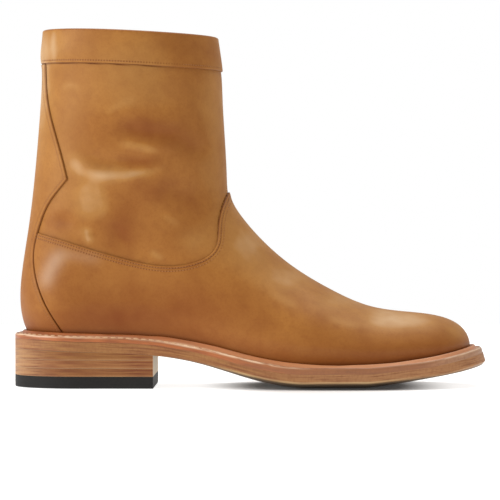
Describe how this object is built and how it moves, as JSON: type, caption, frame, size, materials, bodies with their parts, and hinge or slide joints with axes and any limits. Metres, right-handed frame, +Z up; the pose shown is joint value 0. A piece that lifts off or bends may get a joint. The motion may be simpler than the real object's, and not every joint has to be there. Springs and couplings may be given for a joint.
{
  "type": "roper boot",
  "caption": "Ankle-high pull-on leather boot with a rounded toe, a plain shaft with a folded cuff, a stitched welt and a low stacked heel.",
  "frame": {"origin": "on the floor, under the middle of the sole's length and breadth", "axes": "+X towards the toe, +Y to the inner side of the foot, +Z up"},
  "size_m": [0.2996, 0.1054, 0.2264],
  "materials": {
    "oiled_leather": "oiled, soft nap",
    "welt_leather": "smooth, burnished edge",
    "sole_leather": "trimmed and sanded edge",
    "insole_leather": "plain, undyed",
    "top_rubber": "matt"
  },
  "bodies": {
    "root": {"upper": "oiled_leather", "vamp": "oiled_leather", "back_strip": "oiled_leather", "cuff": "oiled_leather", "welt": "welt_leather", "outsole": "sole_leather", "insole": "insole_leather", "heel_lift_1": "sole_leather", "heel_lift_2": "sole_leather", "heel_lift_3": "sole_leather", "heel_top_piece": "top_rubber"}
  },
  "joints": []
}
